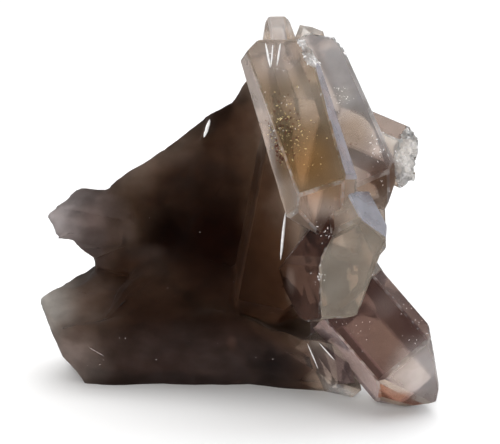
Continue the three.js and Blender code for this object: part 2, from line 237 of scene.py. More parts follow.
# Fresh breaks and worn edges: their tone, and the crags and dashes in them; the pale dashes on the edges are
# partly wear and partly painted highlight
BROKEN_TONE = (0.95, 0.98, 1.0)
BROKEN_SHADE = (0.16, 0.18, 0.22, 1)
CRAGS_SHOWN = 0.3
GRAIN_SIZE = 0.9 * MM
GRAIN_HEIGHT = 0.06 * MM
GRAIN_STRENGTH = 0.25
EDGE_WEAR_AND_HIGHLIGHT_TONE = (0.85, 0.83, 0.83)
EDGE_WEAR_AND_HIGHLIGHT_SHOWN = 0.45
DASH_SIZE = 1.6 * MM
DASH_LIMITS = (0.5, 0.62)

# Clouds all over the quartz and slanted veins on its worn skin: darkest and palest tint, and size
CLOUDS = ((0.84, 0.82, 0.80, 1), (1.1, 1.09, 1.07, 1), 4 * MM)
VEINS = ((0.78, 0.77, 0.76, 1), (1.24, 1.25, 1.26, 1), 4.5 * MM)
VEIN_TURN = (0, 0.6, 0.3)
VEIN_STRETCH = (0.8, 1, 1.4)
MOTTLE_LIMITS = (0.27, 0.73)
MOTTLE_DETAIL = 4.0

# Chips, flecks, dust and painted glints on the surface: middle and reach in millimetres, the form of face
# they lie on, number per square millimetre, size, flatness, seed and finish
ANY = -1
CHIPS = {
    # The white edge chips are partly real chips and partly painted glints, and the flakes named glints are
    # painted highlights
    "edge_chips": ((24, -10, 38), (40, 40, 60), EDGE, 1.1, 0.26, 0.45, 41, "veil"),
    "main_break_glints": (MAIN_BREAK, (14, 14, 14), BROKEN, 5.0, 0.5, 0.5, 43, "veil"),
    "stub_break_glints": (STUB_BREAK, (14, 14, 14), BROKEN, 2.6, 0.46, 0.5, 44, "veil"),
    "main_flecks": ((10.8, -13.8, 56.0), (4.8, 7, 8), FLAT, 4.5, 0.34, 0.4, 7, "gold"),
    "main_dark_flecks": ((10.4, -13.8, 55.6), (4.6, 7, 8), FLAT, 4.5, 0.36, 0.4, 8, "speck"),
    "main_glints": ((11.0, -13.0, 57.6), (5.5, 6, 7.5), FLAT, 1.0, 0.22, 0.4, 11, "veil"),
    "main_gold": ((14.5, -16.5, 51.5), (6, 6, 8), FLAT, 0.9, 0.24, 0.3, 13, "gold"),
    "main_upper_chips": ((11.0, -7.5, 69.0), (7, 5, 5), FLAT, 0.5, 0.24, 0.3, 14, "veil"),
    "rear_chip": ((28.6, -9.6, 51.3), (2.4, 4, 2.0), ANY, 4.0, 0.30, 0.4, 19, "veil"),
    "rear_veil_glints": ((22.0, -4.6, 60.6), (2.6, 4, 2.2), FLAT, 5.0, 0.26, 0.3, 18, "veil"),
    "rear_foot_chips": ((30.0, -9.5, 47.0), (4.0, 6, 5.0), ANY, 1.2, 0.24, 0.4, 20, "veil"),
    "low_glints": ((24.0, -18.0, 17.5), (6, 6, 6), ANY, 1.0, 0.20, 0.5, 23, "veil"),
    "low_flecks": ((26.0, -19.0, 15.0), (5, 6, 6), ANY, 1.3, 0.24, 0.5, 29, "speck"),
    "low_edge_chips": ((36.0, -20.5, 19.5), (6, 6, 7), ANY, 1.0, 0.22, 0.5, 30, "veil"),
    "front_seam_chips": ((17.2, -20.3, 28.4), (1.2, 3, 2.4), ANY, 3.0, 0.30, 0.5, 61, "veil"),
    "front_corner_chips": ((18.0, -19.4, 37.2), (2.2, 3, 2.2), ANY, 3.0, 0.30, 0.5, 62, "veil"),
    "red_specks_left": ((9.4, -15.1, 51.3), (0.9, 2, 1.2), ANY, 12.0, 0.5, 0.6, 31, "speck"),
    "red_specks_right": ((23.3, -8.0, 52.8), (0.7, 2, 0.7), ANY, 9.0, 0.42, 0.6, 37, "speck"),
    "red_specks_top": ((14.8, -10.3, 65.3), (0.6, 2, 0.6), ANY, 8.0, 0.32, 0.6, 38, "speck"),
    "main_face_pits": ((12, -12, 58), (14, 10, 18), FLAT, 0.08, 0.14, 0.3, 47, "dust"),
    "front_face_pits": ((23, -20.5, 31), (7, 4, 12), FLAT, 0.35, 0.16, 0.3, 48, "speck"),
    "lobe_dust": ((-30, -6, 8), (14, 12, 9), WORN, 0.16, 0.20, 0.4, 53, "dust"),
    "base_dust": ((-4, -9, 10), (22, 10, 10), WORN, 0.05, 0.22, 0.4, 54, "dust"),
    "mass_glints": ((-10, 0, 30), (16, 12, 14), WORN, 0.02, 0.24, 0.4, 55, "dust"),
}

# Needles and slivers on the faces: both ends and the width at the middle, in millimetres, and the finish
NEEDLES = {
    "main_blade_left": ((6.7, -5.8, 71.6), (7.6, -8.3, 67.0), 0.42, "veil"),
    "main_blade_middle": ((8.2, -5.9, 71.6), (7.7, -8.3, 67.1), 0.32, "veil"),
    "main_blade_right": ((9.6, -6.2, 71.6), (8.9, -8.3, 67.4), 0.38, "veil"),
    # Painted reflection: a white sliver where the sky glints on a small facet of the ridge
    "ridge_glint_sliver": ((-4.7, 8.7, 54.0), (-5.9, 6.8, 50.4), 0.8, "veil"),
    "front_sliver": ((10.8, -7.4, 38.2), (9.8, -9.9, 28.8), 0.6, "veil"),
    "toe_line_left": ((15.1, -14.9, 13.0), (17.5, -13.5, 6.9), 0.26, "veil"),
    "toe_line_right": ((17.4, -15.7, 13.4), (20.5, -16.4, 10.0), 0.26, "veil"),
    "lobe_streak": ((-29.6, -6.6, 8.9), (-26.6, -6.6, 7.0), 0.14, "dust"),
}
NEEDLE_STEPS = 9
NEEDLE_SIDES = 6
NEEDLE_TIP = 0.03
NEEDLE_RIPPLE = 0.4
NEEDLE_RIPPLE_SIZE = 1.3 * MM

# Chips lie in clumps where their place is larger than this reach in millimetres, and thin out from its core
CLUMP_REACH = 4.5
CLUMP_SIZE = 2.2 * MM
CLUMP_LIMITS = (0.38, 0.6)
CHIP_CORE = 0.3

# A flake of length 1: its width, its smallest size, how rare large ones are, its tilt and turn, the step from
# the seed of its size to that of its turn, and the size and height of its mottle
FLAKE_WIDTH = 0.36
FLAKE_SMALLEST = 0.45
FLAKE_RARITY = 2.5
FLAKE_TILT = 0.3
FLAKE_TURN = 3.14
TURN_SEED = 2.0
FLAKE_MOTTLE = 0.8 * MM
FLAKE_BUMP = 0.05 * MM

# The studio: how bright its back and the viewer's side are, between which limits one passes into the other,
# how much brighter the viewer's side is through the quartz, and how much the outer faces fail to mirror
BACK_GLOW = 1.34
FRONT_GLOW = 0.14
GLOW_LIMITS = (-0.15, 0.6)
THROUGH_GLOW = 0.3
MIRROR_SHADE = 0.9
FLOOR_REACH = 3.0
FLOOR_COLOUR = (0.9, 0.9, 0.9, 1)
FLOOR_ROUGH = 0.9
WHITE = (1, 1, 1, 1)
BLACK = (0, 0, 0, 1)

# Lamps: place, size, power and colour
LAMPS = {
    "overhead": ((0.2, 0.3, 2.2), 3.0, 44.0, (1, 1, 1)),
    "front_fill": ((-0.5, -1.8, 1.1), 1.6, 24.0, (1, 0.98, 0.96)),
    "window": ((1.4, 0.45, 0.7), 0.7, 6.0, (0.82, 0.9, 1.0)),
}

# Camera, from the photo
LENS = 85
SENSOR = 36
AIM = Vector((3.70, -7.78, 36.1)) * MM
EYE = Vector((3.70, -235.83, 97.2)) * MM


def new_object(name, data):
    """An object at the origin that shows the mesh, light or camera."""
    made = bpy.data.objects.new(name, data)
    bpy.context.scene.collection.objects.link(made)
    return made


def put(tree, kind, inputs=None, **settings):
    """A node with its settings, its inputs given as values or as the sockets that feed them."""
    made = tree.nodes.new(kind)
    for name, value in settings.items():
        setattr(made, name, value)
    for key, value in (inputs or {}).items():
        if isinstance(value, bpy.types.NodeSocket):
            tree.links.new(value, made.inputs[key])
        else:
            made.inputs[key].default_value = value
    return made


def reckon(tree, operation, *values):
    """The result of a Math node."""
    return put(tree, "ShaderNodeMath", dict(enumerate(values)), operation=operation).outputs[0]


def reckon_vector(tree, operation, *values):
    """The result of a Vector Math node: a number for a dot product or a length, else a vector."""
    made = put(tree, "ShaderNodeVectorMath", dict(enumerate(values)), operation=operation)
    return made.outputs["Value" if operation in ("DOT_PRODUCT", "LENGTH") else "Vector"]


def scaled(tree, vector, number):
    """The vector times the number."""
    made = put(tree, "ShaderNodeVectorMath", {0: vector, "Scale": number}, operation="SCALE")
    return made.outputs["Vector"]


def eased(tree, value, low, high):
    """0 below low, 1 above high, smooth between."""
    made = put(
        tree,
        "ShaderNodeMapRange",
        {"Value": value, "From Min": low, "From Max": high},
        interpolation_type="SMOOTHSTEP",
    )
    return made.outputs["Result"]


def blended(tree, amount, first, second):
    """The first colour at amount 0, the second at 1."""
    made = put(tree, "ShaderNodeMix", {0: amount, 6: first, 7: second}, data_type="RGBA")
    return made.outputs[2]


def toned(tree, amount, colour, tint):
    """The colour times the tint, as far as the amount says."""
    values = {0: amount, 6: colour, 7: tint}
    return put(tree, "ShaderNodeMix", values, data_type="RGBA", blend_type="MULTIPLY").outputs[2]


def alike(tree, value, wanted):
    """1 where a whole number is the wanted one, else 0."""
    return reckon(tree, "COMPARE", value, wanted, 0.5)


def nearness(tree, place, middle, reach, core):
    """1 in the core of a place and 0 beyond its reach, smooth between."""
    away = reckon_vector(tree, "SUBTRACT", place, middle)
    away = reckon_vector(tree, "DIVIDE", away, reach)
    return eased(tree, reckon_vector(tree, "LENGTH", away), 1.0, core)


def noise_at(tree, place, size, detail=2.0):
    """A noise value about 0.5 whose lumps are of the given size, a number or a socket."""
    from_socket = isinstance(size, bpy.types.NodeSocket)
    scale = reckon(tree, "DIVIDE", 1.0, size) if from_socket else 1 / size
    values = {"Vector": place, "Scale": scale, "Detail": detail}
    return put(tree, "ShaderNodeTexNoise", values).outputs["Fac"]


def group_with(name, kind, inputs, outputs):
    """A node group with named sockets, and its input and output nodes."""
    tree = bpy.data.node_groups.new(name, kind)
    for label, socket in inputs:
        tree.interface.new_socket(label, in_out="INPUT", socket_type="NodeSocket" + socket)
    for label, socket in outputs:
        tree.interface.new_socket(label, in_out="OUTPUT", socket_type="NodeSocket" + socket)
    return tree, tree.nodes.new("NodeGroupInput"), tree.nodes.new("NodeGroupOutput")


def is_clear(point):
    """True on the side of the clear crystals."""
    return point.x + CLEAR_LEAN * point.z > CLEAR_AT


def within(point, places):
    """True near one of the places."""
    return any((point - Vector(middle) * MM).length < reach * MM for middle, reach in places.values())


def thin(face):
    """True for the narrow worn strips along crystal edges."""
    around = sum(edge.calc_length() for edge in face.edges)
    return face.calc_area() / around < THIN_RATIO


def form_of(face):
    """Whether a face of the solid is a flat crystal face, a worn edge, a fresh break or the worn mass."""
    area = face.calc_area()
    middle = face.calc_center_median()
    if middle.z < FLOOR_GAP or within(middle, FLAKES):
        return FLAT
    if not is_clear(middle):
        return FLAT if area > DARK_AREA and not within(middle, WALLS) else WORN
    if area < BREAK_AREA and within(middle, BREAKS):
        return BROKEN
    if area < DARK_AREA and within(middle, BACKS):
        return WORN
    if thin(face):
        return EDGE
    return FLAT if area > CRYSTAL_AREA else WORN


def level_faces(start, form):
    """The faces that make one flat crystal face with the first one."""
    found = {start}
    queue = [start]
    while queue:
        face = queue.pop()
        for edge in face.edges:
            for other in edge.link_faces:
                same = other[form] == FLAT and other.normal.angle(start.normal, math.pi) < SAME_FACE
                if same and other not in found:
                    found.add(other)
                    queue.append(other)
    return found


def tone_faces(body, form):
    """Stores the tone of each crystal face and fresh break, and on worn edges that of the nearest face."""
    tone = body.faces.layers.float_color.new("tone")
    for face in body.faces:
        face[tone] = (*BROKEN_TONE, 1) if face[form] == BROKEN else (0, 0, 0, 0)
    flat = [face for face in body.faces if face[form] == FLAT]
    for point, colour in FACE_TONES.values():
        spot = Vector(point) * MM
        start = min(flat, key=lambda face: (face.calc_center_median() - spot).length)
        for face in level_faces(start, form):
            face[tone] = (*colour, 1)
    queue = deque(face for face in flat if face[tone][3] > 0)
    while queue:
        face = queue.popleft()
        for edge in face.edges:
            for other in edge.link_faces:
                if other[form] == EDGE and other[tone][3] == 0:
                    other[tone] = face[tone]
                    queue.append(other)


def halve(edge):
    """Cuts an edge at its middle, and the two triangles beside it."""
    sides = list(edge.link_faces)
    _, middle = bmesh.utils.edge_split(edge, edge.verts[0], 0.5)
    for face in sides:
        corner = next(loop for loop in face.loops if loop.vert == middle)
        bmesh.utils.face_split(face, middle, corner.link_loop_next.link_loop_next.vert)


def refine(body, form):
    """Cuts the faces up until no edge is longer than its form allows, the longest edges first."""
    bmesh.ops.triangulate(body, faces=body.faces)
    for _ in range(REFINE_ROUNDS):
        long_edges = []
        for edge in body.edges:
            length = edge.calc_length()
            if length > min(STEPS[face[form]] for face in edge.link_faces):
                long_edges.append((length, edge))
        long_edges.sort(key=lambda item: item[0], reverse=True)
        for _, edge in long_edges:
            halve(edge)


def soften(body, verts, factor):
    """Moves each vertex towards the middle of its neighbours, or away where the factor is negative."""
    bmesh.ops.smooth_vert(
        body, verts=verts, factor=factor, use_axis_x=True, use_axis_y=True, use_axis_z=True
    )


def refined_body():
    """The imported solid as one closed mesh, with its worn and broken surfaces cut into small faces."""
    body = bmesh.new()
    body.from_mesh(CLUSTER.data)
    bmesh.ops.remove_doubles(body, verts=body.verts, dist=MERGE)
    bmesh.ops.dissolve_limit(body, angle_limit=LEVEL_ANGLE, verts=body.verts, edges=body.edges)
    form = body.faces.layers.int.new("form")
    wear = body.verts.layers.float.new("wear")
    shatter = body.verts.layers.float.new("shatter")
    for face in body.faces:
        face[form] = form_of(face)
    refine(body, form)
    inner = [vert for vert in body.verts if all(face[form] == WORN for face in vert.link_faces)]
    pits = [vert for vert in inner if within(vert.co, PITS)]
    for _ in range(PIT_ROUNDS):
        soften(body, pits, DRAW_IN)
    for _ in range(SMOOTH_ROUNDS):
        soften(body, inner, DRAW_IN)
        soften(body, inner, SWELL_BACK)
    ring = set(inner)
    for step in range(WEAR_RINGS):
        for vert in ring:
            vert[wear] = (step + 1) / WEAR_RINGS
        ring = {v for v in ring if all(e.other_vert(v) in ring for e in v.link_edges)}
    for vert in body.verts:
        vert[shatter] = float(all(face[form] == BROKEN for face in vert.link_faces))
    for face in body.faces:
        face.smooth = face[form] == WORN
    for edge in body.edges:
        edge.smooth = all(face[form] == WORN for face in edge.link_faces)
    tone_faces(body, form)
    mesh = bpy.data.meshes.new("quartz")
    body.to_mesh(mesh)
    body.free()
    return mesh


def finished(tree, geometry, given, out):
    """Ends a Geometry Nodes tree: real faces with the given material."""
    real = put(tree, "GeometryNodeRealizeInstances", {"Geometry": geometry}).outputs[0]
    coated = put(
        tree, "GeometryNodeSetMaterial", {"Geometry": real, "Material": given.outputs["Material"]}
    ).outputs[0]
    tree.links.new(coated, out.inputs[0])


def named(tree, name, kind="FLOAT"):
    """The value of a stored attribute."""
    return put(tree, "GeometryNodeInputNamedAttribute", {"Name": name}, data_type=kind).outputs["Attribute"]


def random_between(tree, low, high, seed):
    """A random number for each point, or a random vector where the limits are vectors."""
    if isinstance(low, tuple):
        made = put(
            tree, "FunctionNodeRandomValue", {0: low, 1: high, "Seed": seed}, data_type="FLOAT_VECTOR"
        )
        return made.outputs[0]
    return put(tree, "FunctionNodeRandomValue", {2: low, 3: high, "Seed": seed}, data_type="FLOAT").outputs[1]


def smoke_depth(tree, geometry, place, normal):
    """The mean way through the quartz behind each point, along rays that lean to all sides, evened out."""
    inward = scaled(tree, normal, -1.0)
    start = reckon_vector(tree, "ADD", place, scaled(tree, inward, RAY_START))
    leans = [(0, 0, 0)]
    for axis in range(3):
        for lean in (RAY_LEAN, -RAY_LEAN):
            leans.append(tuple(lean if axis == other else 0 for other in range(3)))
    total = 0.0
    for lean in leans:
        ray = reckon_vector(tree, "NORMALIZE", reckon_vector(tree, "ADD", inward, lean))
        hit = put(
            tree,
            "GeometryNodeRaycast",
            {
                "Target Geometry": geometry,
                "Source Position": start,
                "Ray Direction": ray,
                "Ray Length": RAY_LENGTH,
            },
        )
        total = reckon(tree, "ADD", total, hit.outputs["Hit Distance"])
    depth = reckon(tree, "DIVIDE", total, float(len(leans)))
    return put(tree, "GeometryNodeBlurAttribute", {"Value": depth, "Iterations": DEPTH_BLUR}).outputs[0]


def worn_skin():
    """Geometry Nodes: swells on the worn mass, shards on the breaks, then the smoke's depth at each point."""
    tree, given, out = group_with(
        "worn_skin",
        "GeometryNodeTree",
        [
            ("Geometry", "Geometry"),
            ("Swell", "Float"),
            ("Swell Size", "Float"),
            ("Ripple", "Float"),
            ("Ripple Size", "Float"),
            ("Shard", "Float"),
            ("Shard Size", "Float"),
            ("Material", "Material"),
        ],
        [("Geometry", "Geometry")],
    )
    place = put(tree, "GeometryNodeInputPosition").outputs[0]
    normal = put(tree, "GeometryNodeInputNormal").outputs[0]
    lift = 0.0
    for amount, size in (("Swell", "Swell Size"), ("Ripple", "Ripple Size")):
        level = reckon(tree, "SUBTRACT", noise_at(tree, place, given.outputs[size]), 0.5)
        lift = reckon(tree, "ADD", lift, reckon(tree, "MULTIPLY", level, given.outputs[amount]))
    scale = reckon(tree, "DIVIDE", 1.0, given.outputs["Shard Size"])
    cells = put(tree, "ShaderNodeTexVoronoi", {"Vector": place, "Scale": scale})
    step = reckon_vector(tree, "DOT_PRODUCT", cells.outputs["Color"], (SHARD_STEP, 0, 0))
    level = reckon(tree, "SUBTRACT", step, cells.outputs["Distance"])
    height = reckon(tree, "MULTIPLY", given.outputs["Shard"], named(tree, "shatter"))
    shards = reckon(tree, "MULTIPLY", level, height)
    lift = reckon(tree, "ADD", reckon(tree, "MULTIPLY", lift, named(tree, "wear")), shards)
    moved = put(
        tree,
        "GeometryNodeSetPosition",
        {"Geometry": given.outputs["Geometry"], "Offset": scaled(tree, normal, lift)},
    ).outputs[0]
    depth = smoke_depth(tree, moved, place, normal)
    stored = put(
        tree, "GeometryNodeStoreNamedAttribute", {"Geometry": moved, "Name": "depth", "Value": depth}
    ).outputs[0]
    finished(tree, stored, given, out)
    return tree


def flake_shape(tree, flatness):
    """A small many-sided flake of radius 1, flat along Z."""
    ball = put(tree, "GeometryNodeMeshIcoSphere", {"Radius": 1.0, "Subdivisions": 1}).outputs["Mesh"]
    scale = put(tree, "ShaderNodeCombineXYZ", {0: 1.0, 1: FLAKE_WIDTH, 2: flatness}).outputs[0]
    flat = put(tree, "GeometryNodeTransform", {"Geometry": ball, "Scale": scale}).outputs[0]
    return put(tree, "GeometryNodeSetShadeSmooth", {"Geometry": flat, "Shade Smooth": False}).outputs[0]


def flakes_on(tree, points, rotation, given):
    """The flakes at the points, small ones more often than large ones."""
    spread = random_between(tree, FLAKE_SMALLEST, 1.0, given.outputs["Seed"])
    size = reckon(tree, "MULTIPLY", reckon(tree, "POWER", spread, FLAKE_RARITY), given.outputs["Size"])
    return put(
        tree,
        "GeometryNodeInstanceOnPoints",
        {
            "Points": points,
            "Instance": flake_shape(tree, given.outputs["Flatness"]),
            "Rotation": rotation,
            "Scale": size,
        },
    ).outputs[0]


def chips_on_faces():
    """Geometry Nodes: chips in clumps on the faces of one form, thickest at the middle of a place."""
    tree, given, out = group_with(
        "chips_on_faces",
        "GeometryNodeTree",
        [
            ("Geometry", "Geometry"),
            ("Middle", "Vector"),
            ("Reach", "Vector"),
            ("Form", "Float"),
            ("Clumping", "Float"),
            ("Density", "Float"),
            ("Size", "Float"),
            ("Flatness", "Float"),
            ("Seed", "Int"),
            ("Material", "Material"),
        ],
        [("Geometry", "Geometry")],
    )
    place = put(tree, "GeometryNodeInputPosition").outputs[0]
    near = nearness(tree, place, given.outputs["Middle"], given.outputs["Reach"], CHIP_CORE)
    same = alike(tree, named(tree, "form", "INT"), given.outputs["Form"])
    chosen = reckon(tree, "MAXIMUM", same, reckon(tree, "LESS_THAN", given.outputs["Form"], 0.0))
    clumps = eased(tree, noise_at(tree, place, CLUMP_SIZE), *CLUMP_LIMITS)
    even = reckon(tree, "SUBTRACT", 1.0, given.outputs["Clumping"])
    share = reckon(tree, "MULTIPLY", near, reckon(tree, "MAXIMUM", clumps, even))
    density = reckon(tree, "MULTIPLY", given.outputs["Density"], share)
    points = put(
        tree,
        "GeometryNodeDistributePointsOnFaces",
        {
            "Mesh": given.outputs["Geometry"],
            "Selection": chosen,
            "Density": density,
            "Seed": given.outputs["Seed"],
        },
    )
    other_seed = reckon(tree, "ADD", given.outputs["Seed"], TURN_SEED)
    least = (-FLAKE_TILT, -FLAKE_TILT, -FLAKE_TURN)
    most = (FLAKE_TILT, FLAKE_TILT, FLAKE_TURN)
    spin = random_between(tree, least, most, other_seed)
    turned = put(
        tree,
        "FunctionNodeRotateRotation",
        {"Rotation": points.outputs["Rotation"], "Rotate By": spin},
        rotation_space="LOCAL",
    ).outputs[0]
    finished(tree, flakes_on(tree, points.outputs["Points"], turned, given), given, out)
    return tree


def tapered_needles():
    """Geometry Nodes: each edge becomes a needle, widest at its middle and pointed at both ends."""
    tree, given, out = group_with(
        "tapered_needles",
        "GeometryNodeTree",
        [
            ("Geometry", "Geometry"),
            ("Steps", "Int"),
            ("Sides", "Int"),
            ("Ripple", "Float"),
            ("Material", "Material"),
        ],
        [("Geometry", "Geometry")],
    )
    curve = put(tree, "GeometryNodeMeshToCurve", {"Mesh": given.outputs["Geometry"]}).outputs[0]
    fine = put(
        tree, "GeometryNodeResampleCurve", {"Curve": curve, "Count": given.outputs["Steps"]}
    ).outputs[0]
    place = put(tree, "GeometryNodeInputPosition").outputs[0]
    values = {"Vector": place, "Scale": 1 / NEEDLE_RIPPLE_SIZE}
    noise = put(tree, "ShaderNodeTexNoise", values).outputs["Color"]
    drift = scaled(tree, reckon_vector(tree, "SUBTRACT", noise, (0.5, 0.5, 0.5)), given.outputs["Ripple"])
    bent = put(tree, "GeometryNodeSetPosition", {"Geometry": fine, "Offset": drift}).outputs[0]
    along = put(tree, "GeometryNodeSplineParameter").outputs["Factor"]
    rise = reckon(tree, "MULTIPLY", along, reckon(tree, "SUBTRACT", 1.0, along))
    taper = reckon(tree, "ADD", reckon(tree, "SQRT", rise), NEEDLE_TIP)
    ring = put(
        tree, "GeometryNodeCurvePrimitiveCircle", {"Resolution": given.outputs["Sides"], "Radius": 1.0}
    ).outputs[0]
    tubes = put(
        tree,
        "GeometryNodeCurveToMesh",
        {
            "Curve": bent,
            "Profile Curve": ring,
            "Scale": reckon(tree, "MULTIPLY", taper, named(tree, "width")),
            "Fill Caps": True,
        },
    ).outputs[0]
    finished(tree, tubes, given, out)
    return tree


def dressed(thing, tree, values):
    """The object's mesh after the tree, as a plain mesh."""
    modifier = thing.modifiers.new(tree.name, "NODES")
    modifier.node_group = tree
    for item in tree.interface.items_tree:
        if item.in_out == "INPUT" and item.name in values:
            modifier[item.identifier] = values[item.name]
    graph = bpy.context.evaluated_depsgraph_get()
    mesh = bpy.data.meshes.new_from_object(thing.evaluated_get(graph), depsgraph=graph)
    thing.modifiers.remove(modifier)
    thing.data = mesh
    return thing


def carried(piece):
    """Says that a piece of the cluster rides with it."""
    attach(piece, "root")


def smoke_group():
    """Shader group: the smoke's colour from its depth and from the side of the cluster."""
    tree, given, out = group_with(
        "smoke_colour",
        "ShaderNodeTree",
        [("Position", "Vector"), ("Depth", "Float"), ("Worn", "Float")],
        [("Color", "Color"), ("Clear", "Float")],
    )
    place = given.outputs["Position"]
    drift = reckon(tree, "SUBTRACT", noise_at(tree, place, WANDER_SIZE, detail=3.0), 0.5)
    wander = reckon(tree, "MULTIPLY", drift, CLEAR_WANDER)
    side = reckon_vector(tree, "DOT_PRODUCT", place, (1, 0, CLEAR_LEAN))
    behind = eased(tree, reckon_vector(tree, "DOT_PRODUCT", place, (0, 1, 0)), BACK_FROM, BACK_TO)
    earlier = reckon(tree, "MULTIPLY", behind, BACK_EARLIER)
    start = reckon(tree, "SUBTRACT", CLEAR_AT - CLEAR_BEFORE, earlier)
    clear = eased(tree, reckon(tree, "ADD", side, wander), start, CLEAR_AT + CLEAR_AFTER)
    share = reckon(tree, "DIVIDE", given.outputs["Depth"], FULL_DEPTH)
    ramp = put(tree, "ShaderNodeValToRGB", {"Fac": share})
    elements = ramp.color_ramp.elements
    while len(elements) < len(DEPTH_COLOURS):
        elements.new(0.5)
    for element, (at, colour) in zip(elements, DEPTH_COLOURS.items()):
        element.position = at
        element.color = colour
    pale = blended(tree, given.outputs["Worn"], CLEAR_COLOUR, CLEAR_WORN_COLOUR)
    colour = blended(tree, clear, ramp.outputs["Color"], pale)
    tree.links.new(colour, out.inputs["Color"])
    tree.links.new(clear, out.inputs["Clear"])
    return tree


def patch_group():
    """Shader group: a soft patch of another colour around a point: other smoke, painted shade or a painted
    highlight.
    """
    tree, given, out = group_with(
        "smoke_patch",
        "ShaderNodeTree",
        [
            ("Position", "Vector"),
            ("Color", "Color"),
            ("Middle", "Vector"),
            ("Reach", "Vector"),
            ("Patch", "Color"),
            ("Amount", "Float"),
        ],
        [("Color", "Color")],
    )
    place = given.outputs["Position"]
    near = nearness(tree, place, given.outputs["Middle"], given.outputs["Reach"], PATCH_CORE)
    shown = reckon(tree, "MULTIPLY", near, given.outputs["Amount"])
    colour = blended(tree, shown, given.outputs["Color"], given.outputs["Patch"])
    tree.links.new(colour, out.inputs["Color"])
    return tree


def mottle_group():
    """Shader group: a colour that drifts between two, a roughness that varies, and a fine uneven height."""
    tree, given, out = group_with(
        "mottle",
        "ShaderNodeTree",
        [
            ("Position", "Vector"),
            ("First", "Color"),
            ("Second", "Color"),
            ("Size", "Float"),
            ("Smooth", "Float"),
            ("Rough", "Float"),
        ],
        [("Color", "Color"), ("Roughness", "Float"), ("Height", "Float")],
    )
    noise = noise_at(tree, given.outputs["Position"], given.outputs["Size"], MOTTLE_DETAIL)
    level = eased(tree, noise, *MOTTLE_LIMITS)
    colour = blended(tree, level, given.outputs["First"], given.outputs["Second"])
    tree.links.new(colour, out.inputs["Color"])
    span = reckon(tree, "SUBTRACT", given.outputs["Rough"], given.outputs["Smooth"])
    rough = reckon(tree, "ADD", given.outputs["Smooth"], reckon(tree, "MULTIPLY", level, span))
    tree.links.new(rough, out.inputs["Roughness"])
    tree.links.new(noise, out.inputs["Height"])
    return tree


MOTTLE = mottle_group()


def mottled(tree, place, first, second, size, smooth, rough):
    """The mottle group in a material, with its values."""
    values = {
        "Position": place,
        "First": first,
        "Second": second,
        "Size": size,
        "Smooth": smooth,
        "Rough": rough,
    }
    return put(tree, "ShaderNodeGroup", values, node_tree=MOTTLE)


def new_material(name):
    """A material's node tree, its shader and the place on the piece."""
    material = bpy.data.materials.new(name)
    material.use_nodes = True
    tree = material.node_tree
    return material, tree, tree.nodes["Principled BSDF"], put(tree, "ShaderNodeTexCoord").outputs["Object"]


def patched(tree, place, colour):
    """The colour with all the soft patches over it: other smoke, and painted shade and highlights."""
    group = patch_group()
    for middle, reach, shade, amount in SMOKE_AND_PAINTED_LIGHT_PATCHES.values():
        values = {
            "Position": place,
            "Color": colour,
            "Middle": Vector(middle) * MM,
            "Reach": Vector(reach) * MM,
            "Patch": (*shade, 1),
            "Amount": amount,
        }
        colour = put(tree, "ShaderNodeGroup", values, node_tree=group).outputs["Color"]
    return colour


def quartz_material():
    """See-through smoky quartz."""
    material, tree, shader, place = new_material("smoky_quartz")
    depth = put(tree, "ShaderNodeAttribute", attribute_name="depth").outputs["Fac"]
    form = put(tree, "ShaderNodeAttribute", attribute_name="form").outputs["Fac"]
    tone = put(tree, "ShaderNodeAttribute", attribute_name="tone")
    frosted = reckon(tree, "MINIMUM", form, 1.0)
    edge = alike(tree, form, EDGE)
    broken = alike(tree, form, BROKEN)

    values = {"Position": place, "Depth": depth, "Worn": frosted}
    smoke = put(tree, "ShaderNodeGroup", values, node_tree=smoke_group())
    # The face tones, among them painted reflections, highlights and shade
    colour = blended(tree, tone.outputs["Alpha"], smoke.outputs["Color"], tone.outputs["Color"])
    # The soft patches, among them painted shade, shadow, highlights and reflection
    colour = patched(tree, place, colour)

    # Pale dashes on the thin edge strips, partly wear and partly painted highlight
    dashes = eased(tree, noise_at(tree, place, DASH_SIZE, detail=4.0), *DASH_LIMITS)
    worn = reckon(tree, "MULTIPLY", reckon(tree, "MULTIPLY", edge, dashes), EDGE_WEAR_AND_HIGHLIGHT_SHOWN)
    worn = reckon(tree, "MULTIPLY", worn, smoke.outputs["Clear"])
    colour = blended(tree, worn, colour, (*EDGE_WEAR_AND_HIGHLIGHT_TONE, 1))
    grain = mottled(tree, place, BLACK, WHITE, GRAIN_SIZE, smooth=0, rough=1)
    crags = reckon(tree, "MULTIPLY", broken, grain.outputs["Roughness"])
    colour = blended(tree, reckon(tree, "MULTIPLY", crags, CRAGS_SHOWN), colour, BROKEN_SHADE)

    cloudy = mottled(tree, place, *CLOUDS, SKIN_SMOOTH, SKIN_ROUGH)
    turn = {"Vector": place, "Rotation": VEIN_TURN, "Scale": VEIN_STRETCH}
    slanted = put(tree, "ShaderNodeMapping", turn).outputs[0]
    veins = mottled(tree, slanted, *VEINS, smooth=0, rough=1)
    colour = toned(tree, 1.0, colour, cloudy.outputs["Color"])
    colour = toned(tree, frosted, colour, veins.outputs["Color"])
    tree.links.new(colour, shader.inputs["Base Color"])

    frost = reckon(tree, "MULTIPLY", frosted, FROST_ROUGH)
    rough = reckon(tree, "ADD", cloudy.outputs["Roughness"], frost)
    tree.links.new(rough, shader.inputs["Roughness"])
    values = {"Height": grain.outputs["Height"], "Strength": GRAIN_STRENGTH, "Distance": GRAIN_HEIGHT}
    bump = put(tree, "ShaderNodeBump", values)
    tree.links.new(bump.outputs["Normal"], shader.inputs["Normal"])
    shader.inputs["IOR"].default_value = QUARTZ_IOR
    shader.inputs["Transmission Weight"].default_value = SEE_THROUGH
    haze = put(tree, "ShaderNodeVolumeAbsorption", {"Color": SMOKE_COLOUR, "Density": SMOKE_DENSITY})
    tree.links.new(haze.outputs["Volume"], tree.nodes["Material Output"].inputs["Volume"])
    return material


